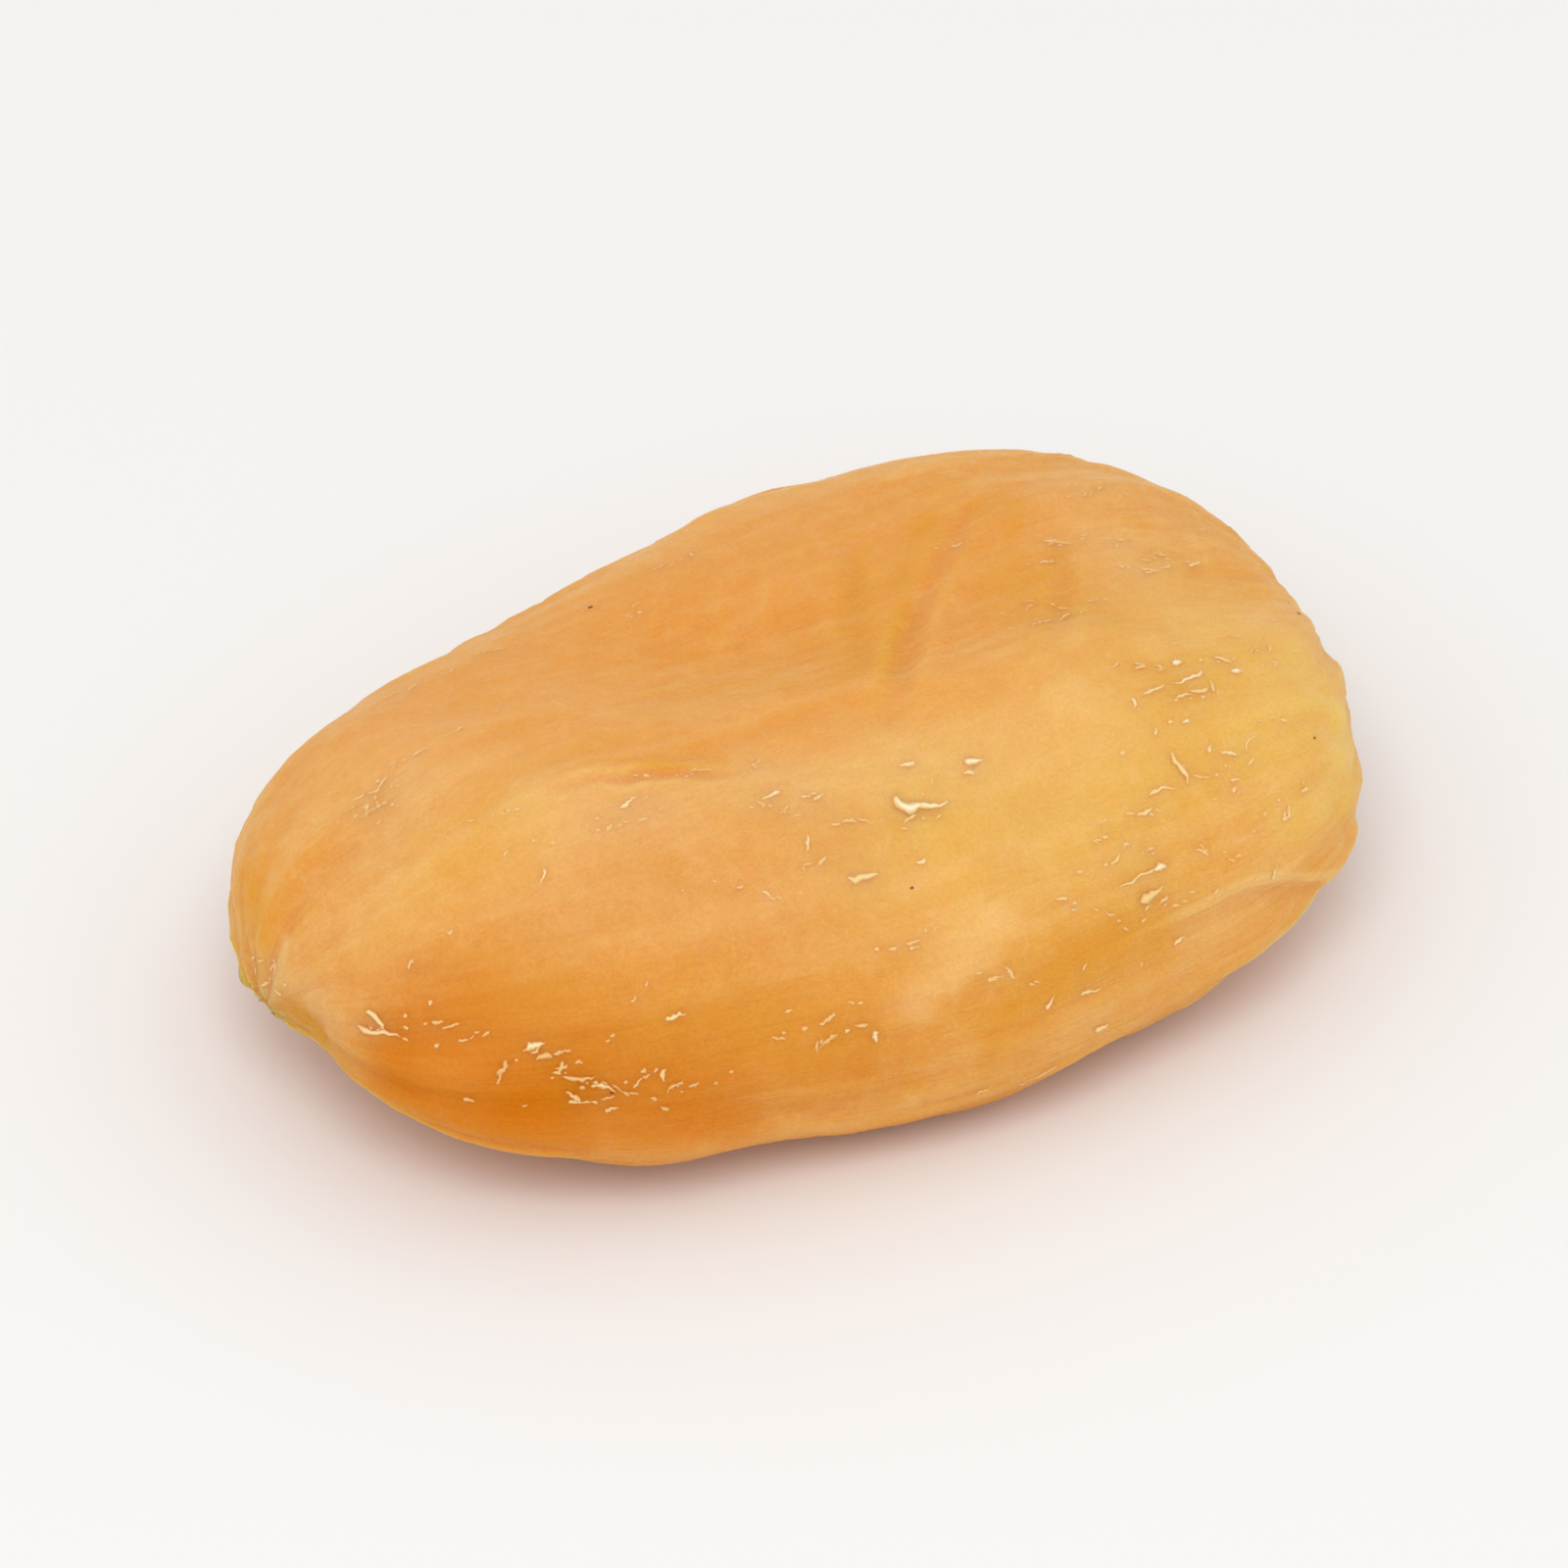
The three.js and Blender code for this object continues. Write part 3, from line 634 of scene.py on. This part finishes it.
def small_flecks(points, normals, draw):
    """Broken rows of slivers and dots. A row's middle is drawn from a bell round its cluster's place, and its
    flecks lie at random along a curved line that leans a little from the fruit's length."""
    place, spread, rows, size, strength = (np.array(column) for column in zip(*FLECK_CLUSTERS))
    cluster = np.repeat(np.arange(len(rows)), rows)
    middle = place[cluster] + draw.normal(size=(len(cluster), 3)) * spread[cluster, None]
    middle = nearest(points, middle * MM)
    lean = draw.normal(0, 0.35, len(middle))
    ahead, across = directions(normals[middle], lean)

    row = np.repeat(np.arange(len(middle)), draw.integers(2, 8, len(middle)))
    count = len(row)
    curl = draw.normal(0, 0.2, len(middle))[row]
    along = draw.uniform(-1, 1, count) * (0.4 + 2.4 * size[cluster[row]])
    aside = draw.normal(0, 0.08, count) + curl * along**2
    places = points[middle[row]] + (along[:, None] * ahead[row] + aside[:, None] * across[row]) * MM
    dot = draw.uniform(size=count) < 0.35
    dot_length = draw.uniform(0.1, 0.24, count)
    length = np.where(dot, dot_length, size[cluster[row]] * draw.lognormal(0, 0.45, count))
    width = np.where(dot, 0.8 * length, (0.06 + 0.12 * length) * draw.uniform(0.8, 1.5, count))
    turned = lean[row] + np.arctan(2 * curl * along) + draw.normal(0, 0.3, count)
    brightness = 0.5 * draw.uniform(0, 1, len(middle))[row] + 0.2 * draw.uniform(0, 1, count)
    brightness *= strength[cluster[row]]
    return nearest(points, places), length, width, turned, draw.normal(0, 0.5, count), brightness


def large_flecks(points, normals):
    """The flecks that are given by their two ends, each with its fat end first."""
    start, end, width, brightness = (np.array(column) for column in zip(*LARGE_FLECKS))
    centres = nearest(points, (start + end) / 2 * MM)
    ahead, across = directions(normals[centres], np.zeros(len(centres)))
    run = end - start
    lean = np.arctan2((run * across).sum(axis=1), (run * ahead).sum(axis=1))
    return centres, np.linalg.norm(run, axis=1) + 0.1, width, lean, np.full(len(centres), -0.6), brightness


def flecks(points, normals, draw):
    """All the flecks but those under the foot, as one mesh, with each vertex's brightness, partly a painted
    glint, which falls to nothing at a fleck's edge, and the number of the skin's point that its fleck lies
    on."""
    both = zip(large_flecks(points, normals), small_flecks(points, normals, draw))
    columns = [np.concatenate(pair) for pair in both]
    off_foot = points[columns[0], 2] > 0.3 * MM
    centres, length, width, lean, skew, brightness = (column[off_foot] for column in columns)
    slivers, faces, ridge = spindles(points, normals, centres, length * MM, width * MM, lean, skew, draw)
    return slivers, faces, (brightness[:, None] * ridge).ravel(), np.repeat(centres, ridge.shape[1])


# Meshes, materials and the scene


def new_mesh_object(name, points, faces, attributes):
    """A smooth mesh object at the origin, with each named array as an attribute of its vertices."""
    mesh = bpy.data.meshes.new(name)
    mesh.vertices.add(len(points))
    mesh.vertices.foreach_set("co", points.ravel())
    corners = faces.shape[1]
    mesh.loops.add(faces.size)
    mesh.loops.foreach_set("vertex_index", faces.ravel().astype(np.int32))
    mesh.polygons.add(len(faces))
    mesh.polygons.foreach_set("loop_start", np.arange(0, faces.size, corners, dtype=np.int32))
    mesh.update(calc_edges=True)
    mesh.validate()
    mesh.shade_smooth()
    for title, values in attributes.items():
        kind = "FLOAT" if values.ndim == 1 else "FLOAT_VECTOR"
        field = "value" if values.ndim == 1 else "vector"
        mesh.attributes.new(title, kind, "POINT").data.foreach_set(field, values.ravel().astype(np.float32))
    piece = bpy.data.objects.new(name, mesh)
    bpy.context.scene.collection.objects.link(piece)
    return piece


class Finish:
    """A material's node tree with short ways to add what the fruit's finishes are made of."""

    def __init__(self, name):
        self.material = bpy.data.materials.new(name)
        self.material.use_nodes = True
        self.tree = self.material.node_tree
        self.shader = self.tree.nodes["Principled BSDF"]
        self.place = self.add("ShaderNodeTexCoord").outputs["Object"]

    def add(self, kind, **settings):
        node = self.tree.nodes.new(kind)
        for name, value in settings.items():
            setattr(node, name, value)
        return node

    def join(self, source, target):
        self.tree.links.new(source, target)

    def feed(self, node, name, value):
        """Links a socket's value, or sets it where it is a plain one."""
        if isinstance(value, bpy.types.NodeSocket):
            self.join(value, node.inputs[name])
        else:
            node.inputs[name].default_value = value

    def attribute(self, title):
        """One of the mesh's own numbers, by the name it was stored under."""
        return self.add("ShaderNodeAttribute", attribute_name=title).outputs["Fac"]

    def noise(self, size, detail=2.0, roughness=0.5, distortion=0.0, place=None):
        """Noise whose features are of a size in metres, 0 to 1."""
        node = self.add("ShaderNodeTexNoise")
        self.join(place or self.place, node.inputs["Vector"])
        self.feed(node, "Scale", 1 / size)
        self.feed(node, "Detail", detail)
        self.feed(node, "Roughness", roughness)
        self.feed(node, "Distortion", distortion)
        return node.outputs["Fac"]

    def ramp(self, value, start, end, low=0.0, high=1.0):
        """The value carried from start..end to low..high, smoothly, and held there beyond."""
        node = self.add("ShaderNodeMapRange", interpolation_type="SMOOTHSTEP")
        self.join(value, node.inputs["Value"])
        for name, number in (("From Min", start), ("From Max", end), ("To Min", low), ("To Max", high)):
            self.feed(node, name, number)
        return node.outputs["Result"]

    def sum(self, operation, a, b):
        """Two numbers put together by a math operation."""
        node = self.add("ShaderNodeMath", operation=operation)
        for index, value in enumerate((a, b)):
            self.feed(node, index, value)
        return node.outputs["Value"]

    def mix(self, share, a, b, blend="MIX"):
        """Two colours mixed by a share."""
        node = self.add("ShaderNodeMix", data_type="RGBA", blend_type=blend)
        self.feed(node, "Factor", share)
        for index, value in ((6, a), (7, b)):
            if isinstance(value, bpy.types.NodeSocket):
                self.join(value, node.inputs[index])
            else:
                node.inputs[index].default_value = (*value, 1.0)
        return node.outputs[2]

    def bump(self, height, distance, strength=1.0, normal=None):
        """A bump of a height in metres."""
        node = self.add("ShaderNodeBump")
        self.join(height, node.inputs["Height"])
        self.feed(node, "Distance", distance)
        self.feed(node, "Strength", strength)
        if normal is not None:
            self.join(normal, node.inputs["Normal"])
        return node.outputs["Normal"]


def flesh_colour(f, looks):
    """Peach in the dish, pale painted sheen along the roll, yellow painted glow at the tip, amber painted
    shade on the low side and underneath, and ochre: real spots by the stem and painted shade in the creases
    and low on the front. Over that lie a pale bloom in fine mottling, veins and streaks along the fruit, a
    painted highlight on the crests, and an even, darker grain."""
    flow = f.add("ShaderNodeAttribute", attribute_name="flow").outputs["Vector"]
    streaks = f.noise(5.0, detail=3, roughness=0.6, distortion=0.8, place=flow)
    clouds = f.noise(0.003, detail=4, roughness=0.6)
    mottling = f.noise(0.0008, detail=4, roughness=0.65, distortion=0.4)
    veins = f.sum("ABSOLUTE", f.sum("SUBTRACT", f.noise(0.0014, detail=3, distortion=0.8), 0.5), 0.0)
    grain = f.noise(0.00012, detail=2)
    crest = f.attribute("crest")

    dish = f.attribute("dish")
    colour = f.mix(dish, tuple(looks.flesh), tuple(looks.dish))
    # Pale along the roll: painted sheen.
    colour = f.mix(f.attribute("pale"), colour, tuple(looks.pale))
    # Yellow at the tip: painted glow.
    colour = f.mix(f.attribute("tip"), colour, tuple(looks.tip))
    fine = f.sum("ADD", f.ramp(mottling, 0.4, 0.7, 0.0, 0.2), f.ramp(veins, 0.035, 0.0, 0.0, 0.12))
    # A painted highlight on the crests, and random pale streaks along the fruit.
    high = f.sum("MAXIMUM", f.ramp(crest, 0.15, 0.9, 0.0, 0.4), f.ramp(streaks, 0.45, 0.65, 0.0, 0.2))
    bloom_and_crest_highlight = f.sum("MULTIPLY", f.sum("ADD", fine, high), f.ramp(dish, 0.0, 1.0, 1.0, 0.65))
    colour = f.mix(bloom_and_crest_highlight, colour, tuple(looks.bloom_and_crest_highlight))
    # Random deeper clouds, and painted shade in the creases.
    clouds_and_crease_shade = f.sum("MAXIMUM", f.ramp(clouds, 0.5, 0.75, 0.0, 0.3), f.ramp(crest, -0.1, -0.8, 0.0, 0.4))
    # Ochre: real spots and random clouds, and painted shade in the creases and low on the front.
    ochre_and_shade = f.sum("MAXIMUM", f.sum("MULTIPLY", f.attribute("ochre_and_shade"), 0.8), clouds_and_crease_shade)
    colour = f.mix(ochre_and_shade, colour, tuple(looks.ochre_and_shade))
    # Amber: painted shade on the low side and underneath.
    colour = f.mix(f.attribute("amber_shade"), colour, tuple(looks.amber_shade))
    return f.mix(1.0, colour, f.ramp(grain, 0.3, 0.7, 0.94, 1.0), blend="MULTIPLY")


def flesh_shine(f, looks):
    """The flesh's low gloss and the way that light travels in it."""
    f.feed(f.shader, "Subsurface Weight", 0.85)
    f.feed(f.shader, "Subsurface Radius", (1.0, 0.45, 0.15))
    f.feed(f.shader, "Subsurface Scale", looks.translucency)
    f.feed(f.shader, "IOR", 1.45)
    f.feed(f.shader, "Specular IOR Level", 0.1)


def flesh_finish(looks):
    """Translucent dried flesh with fine threads along the fruit and a fine grain."""
    f = Finish("dried_flesh")
    flow = f.add("ShaderNodeAttribute", attribute_name="flow").outputs["Vector"]
    threads = f.noise(1.0, detail=3, roughness=0.65, distortion=0.5, place=flow)
    grain = f.noise(0.0002, detail=2)
    f.join(flesh_colour(f, looks), f.shader.inputs["Base Color"])
    f.join(f.ramp(grain, 0.3, 0.7, 0.3, 0.5), f.shader.inputs["Roughness"])
    f.join(f.bump(threads, 0.00012, normal=f.bump(grain, 0.00006)), f.shader.inputs["Normal"])
    flesh_shine(f, looks)
    return f.material


def fleck_finish(looks):
    """Flecks of dried skin and sugar: the flesh's own colour at their edges and cream along the brightest,
    partly the skin and sugar and partly a painted glint on each fleck's top.
    """
    f = Finish("pale_flecks")
    bright = f.attribute("brightness")
    colour = f.mix(f.ramp(bright, -0.35, 0.4), flesh_colour(f, looks), tuple(looks.haze))
    # Cream along the top of the brightest flecks: partly dried skin and sugar, partly a painted glint.
    f.join(f.mix(f.ramp(bright, 0.35, 0.9), colour, tuple(looks.fleck)), f.shader.inputs["Base Color"])
    f.feed(f.shader, "Roughness", 0.4)
    f.feed(f.shader, "Specular IOR Level", 0.3)
    return f.material


def speck_finish(looks):
    """Tiny brown specks on the skin."""
    f = Finish("brown_specks")
    colour = f.mix(f.noise(0.0002), tuple(looks.speck), tuple(looks.speck_heart))
    f.join(colour, f.shader.inputs["Base Color"])
    f.feed(f.shader, "Roughness", 0.6)
    return f.material


def floor_finish(looks):
    """Plain pale matt floor."""
    f = Finish("pale_floor")
    f.feed(f.shader, "Base Color", (*looks.floor, 1.0))
    f.feed(f.shader, "Roughness", 0.9)
    f.feed(f.shader, "Specular IOR Level", 0.2)
    return f.material


class ApricotForm(bpy.types.PropertyGroup):
    """Sizes of the fruit."""

    rim_reach: FloatVectorProperty(
        name="Rim reach",
        description="How far the rim reaches from the middle, every 30 degrees from the tip",
        size=12,
        unit="LENGTH",
        default=[r * MM for r in (18.9, 19.0, 16.0, 13.8, 13.4, 17.5, 19.3, 17.8, 13.2, 13.0, 14.3, 18.0)],
    )
    crown_height: FloatProperty(
        name="Crown height", description="Above the rim, at the middle", unit="LENGTH", default=7.2 * MM
    )
    belly_depth: FloatProperty(
        name="Belly depth", description="Below the rim, at the middle", unit="LENGTH", default=5.1 * MM
    )
    dish_depth: FloatProperty(
        name="Dish depth",
        description="How far the crown sinks where the stone was",
        unit="LENGTH",
        default=1.9 * MM,
    )
    roll_height: FloatProperty(
        name="Roll height", description="The fat roll in front of the dish", unit="LENGTH", default=0.5 * MM
    )
    foot_sink: FloatProperty(
        name="Foot sink",
        description="How far the lowest skin is pressed flat",
        unit="LENGTH",
        default=0.9 * MM,
    )
    wrinkle_depth: FloatProperty(
        name="Wrinkle depth", description="Depth of the fine wrinkles", unit="LENGTH", default=0.07 * MM
    )
    crown_fullness: FloatProperty(
        name="Crown fullness", description="Below 1 the upper side is blunter than an ellipse", default=0.86
    )
    belly_fullness: FloatProperty(
        name="Belly fullness", description="Below 1 the under side is blunter than an ellipse", default=0.8
    )
    rings: IntProperty(
        name="Rings", description="Rings of squares from the crown to the seam", default=110, min=8
    )


def colour_setting(name, description, default):
    """A colour that the panel shows."""
    return FloatVectorProperty(name=name, description=description, subtype="COLOR", size=3, default=default)


class ApricotLooks(bpy.types.PropertyGroup):
    """Colours and translucency."""

    flesh: colour_setting("Flesh", "Colour of most of the skin", (0.79, 0.355, 0.072))
    dish: colour_setting("Dish", "Peach colour in the dish", (0.82, 0.34, 0.062))
    # Pale is painted sheen along the roll.
    pale: colour_setting("Pale", "Colour along the roll", (0.83, 0.45, 0.155))
    # Tip is painted glow of light through the thin flesh.
    tip: colour_setting("Tip", "Yellow of the tip", (0.88, 0.56, 0.130))
    # Amber is painted shade on the low side and underneath.
    amber_shade: colour_setting("Amber", "Deep colour of the side that hangs low", (0.70, 0.215, 0.001))
    # Ochre is real spots by the stem, and painted shade in the creases and low on the front.
    ochre_and_shade: colour_setting("Ochre", "Deeper yellow in the creases", (0.77, 0.33, 0.022))
    # Bloom is random pale mottling, and a painted highlight on the crests.
    bloom_and_crest_highlight: colour_setting("Bloom", "Fine pale mottling over everything", (0.93, 0.60, 0.24))
    haze: colour_setting("Haze", "Cream of the fainter flecks", (0.92, 0.62, 0.25))
    # The flecks' cream is partly dried skin and sugar and partly a painted glint.
    fleck: colour_setting("Flecks", "Cream of the brightest flecks", (0.97, 0.83, 0.58))
    speck: colour_setting("Specks", "Brown of the small specks", (0.26, 0.09, 0.02))
    speck_heart: colour_setting("Speck hearts", "Darker brown within the specks", (0.12, 0.04, 0.01))
    floor: colour_setting("Floor", "Colour of the floor", (0.90, 0.885, 0.87))
    translucency: FloatProperty(
        name="Translucency",
        description="How far red light travels in the flesh",
        unit="LENGTH",
        default=3.5 * MM,
    )


class ApricotStage(bpy.types.PropertyGroup):
    """Camera, lights and floor."""

    azimuth: FloatProperty(
        name="Azimuth",
        description="Camera's turn round the fruit",
        subtype="ANGLE",
        default=math.radians(-27),
    )
    elevation: FloatProperty(
        name="Elevation", description="Camera above the horizon", subtype="ANGLE", default=math.radians(40)
    )
    distance: FloatProperty(
        name="Distance", description="Camera from the fruit", unit="LENGTH", default=0.6
    )
    view_width: FloatProperty(
        name="View width", description="Width of the view at the fruit", unit="LENGTH", default=51.5 * MM
    )
    lamp_size: FloatProperty(
        name="Lamp size", description="Width of the soft lamp overhead", unit="LENGTH", default=0.26
    )
    lamp_power: FloatProperty(name="Lamp power", description="Watts of the soft lamp overhead", default=0.5)
    glow: FloatProperty(name="Glow", description="Strength of the white light from all round", default=0.84)


def the_settings():
    """The scene's own settings of the three kinds."""
    scene = bpy.context.scene
    return scene.apricot_form, scene.apricot_looks, scene.apricot_stage


class APRICOT_OT_skin(bpy.types.Operator):
    """Makes the fruit: one closed, wrinkled, translucent skin"""

    bl_idname = "apricot.skin"
    bl_label = "Apricot skin"

    def execute(self, context):
        form, looks, _ = the_settings()
        skin = Skin(form)
        points = skin.surface()
        piece = new_mesh_object(SKIN_NAME, points, skin.faces, skin.zones(points / MM))
        piece.data.materials.append(flesh_finish(looks))
        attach(piece, "root")
        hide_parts("dried_apricot")
        return {"FINISHED"}


def made_skin():
    """The fruit's finished mesh, as its points, their normals and its attributes."""
    mesh = bpy.data.objects[SKIN_NAME].data
    points, normals = np.empty(len(mesh.vertices) * 3), np.empty(len(mesh.vertices) * 3, np.float32)
    mesh.vertices.foreach_get("co", points)
    mesh.vertex_normals.foreach_get("vector", normals)
    colours = {}
    for title in ("dish", "pale", "tip", "amber_shade", "ochre_and_shade", "crest"):
        colours[title] = np.empty(len(mesh.vertices), np.float32)
        mesh.attributes[title].data.foreach_get("value", colours[title])
    flow = np.empty(len(mesh.vertices) * 3, np.float32)
    mesh.attributes["flow"].data.foreach_get("vector", flow)
    colours["flow"] = flow.reshape(-1, 3)
    return points.reshape(-1, 3), normals.reshape(-1, 3).astype(float), colours


class APRICOT_OT_flecks(bpy.types.Operator):
    """Scatters the pale flecks and the brown specks over the skin"""

    bl_idname = "apricot.flecks"
    bl_label = "Flecks and specks"

    def execute(self, context):
        _, looks, _ = the_settings()
        points, normals, colours = made_skin()
        draw = np.random.default_rng(7)
        slivers, faces, brightness, under = flecks(points, normals, draw)
        attributes = {title: values[under] for title, values in colours.items()}
        pale = new_mesh_object(FLECKS_NAME, slivers, faces, {**attributes, "brightness": brightness})
        pale.data.materials.append(fleck_finish(looks))

        more = draw.uniform(MORE_SPECKS_FROM, MORE_SPECKS_TO, (MORE_SPECKS, 3))
        centres = nearest(points, np.concatenate([np.array(SPECKS) * MM, more * MM]))
        length = draw.uniform(0.12, 0.2, len(centres)) * MM
        none = np.zeros(len(centres))
        shape = spindles(points, normals, centres, length, 0.75 * length, none, none, draw)
        brown = new_mesh_object(SPECKS_NAME, shape[0], shape[1], {})
        brown.data.materials.append(speck_finish(looks))
        for piece in (pale, brown):
            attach(piece, "root")
        return {"FINISHED"}


def aim(thing, target):
    """Turns a lamp or camera to look at a point."""
    thing.rotation_mode = "QUATERNION"
    thing.rotation_quaternion = (Vector(target) - thing.location).to_track_quat("-Z", "Y")


def soft_lamp(name, place, size, power):
    """A round soft lamp aimed at the fruit."""
    lamp = bpy.data.lights.new(name, "AREA")
    lamp.shape = "DISK"
    lamp.size = size
    lamp.energy = power
    holder = bpy.data.objects.new(name, lamp)
    holder.location = place
    aim(holder, LIT_POINT)
    bpy.context.scene.collection.objects.link(holder)


class APRICOT_OT_stage(bpy.types.Operator):
    """Lays the pale floor and sets the soft light and the camera"""

    bl_idname = "apricot.stage"
    bl_label = "Stage"

    def execute(self, context):
        _, looks, stage = the_settings()
        corners = FLOOR_REACH * np.array([(-1.0, -1, 0), (1, -1, 0), (1, 1, 0), (-1, 1, 0)])
        floor = new_mesh_object("floor", corners, np.array([[0, 1, 2, 3]]), {})
        floor.data.materials.append(floor_finish(looks))

        soft_lamp("overhead", LAMP_PLACE, stage.lamp_size, stage.lamp_power)
        world = bpy.data.worlds.new("studio")
        context.scene.world = world
        world.use_nodes = True
        glow = world.node_tree.nodes["Background"]
        glow.inputs["Color"].default_value = (1, 1, 1, 1)
        glow.inputs["Strength"].default_value = stage.glow

        camera = bpy.data.cameras.new("camera")
        camera.sensor_width = SENSOR_WIDTH
        camera.lens = SENSOR_WIDTH * stage.distance / stage.view_width
        holder = bpy.data.objects.new("camera", camera)
        back = Vector(
            (
                math.sin(stage.azimuth) * math.cos(stage.elevation),
                -math.cos(stage.azimuth) * math.cos(stage.elevation),
                math.sin(stage.elevation),
            )
        )
        target = Vector(SEEN_POINT)
        holder.location = target + back * stage.distance
        aim(holder, target)
        context.scene.collection.objects.link(holder)
        context.scene.camera = holder
        context.scene.view_settings.view_transform = "Standard"
        return {"FINISHED"}


class APRICOT_PT_panel(bpy.types.Panel):
    """Lists the fruit's settings and the steps that make it"""

    bl_idname = "APRICOT_PT_panel"
    bl_label = "Dried apricot"
    bl_space_type = "VIEW_3D"
    bl_region_type = "UI"
    bl_category = "Apricot"

    def draw(self, context):
        for group in the_settings():
            box = self.layout.box()
            for name in group.__annotations__:
                box.prop(group, name)
        self.layout.operator(APRICOT_OT_skin.bl_idname)
        self.layout.operator(APRICOT_OT_flecks.bl_idname)
        self.layout.operator(APRICOT_OT_stage.bl_idname)


CLASSES = (
    ApricotForm,
    ApricotLooks,
    ApricotStage,
    APRICOT_OT_skin,
    APRICOT_OT_flecks,
    APRICOT_OT_stage,
    APRICOT_PT_panel,
)


def register():
    for each in CLASSES:
        bpy.utils.register_class(each)
    bpy.types.Scene.apricot_form = PointerProperty(type=ApricotForm)
    bpy.types.Scene.apricot_looks = PointerProperty(type=ApricotLooks)
    bpy.types.Scene.apricot_stage = PointerProperty(type=ApricotStage)


def unregister():
    for name in ("apricot_stage", "apricot_looks", "apricot_form"):
        delattr(bpy.types.Scene, name)
    for each in reversed(CLASSES):
        bpy.utils.unregister_class(each)


def main():
    """Makes every piece in order."""
    register()
    bpy.ops.apricot.skin()
    bpy.ops.apricot.flecks()
    bpy.ops.apricot.stage()


if __name__ == "__main__":
    main()
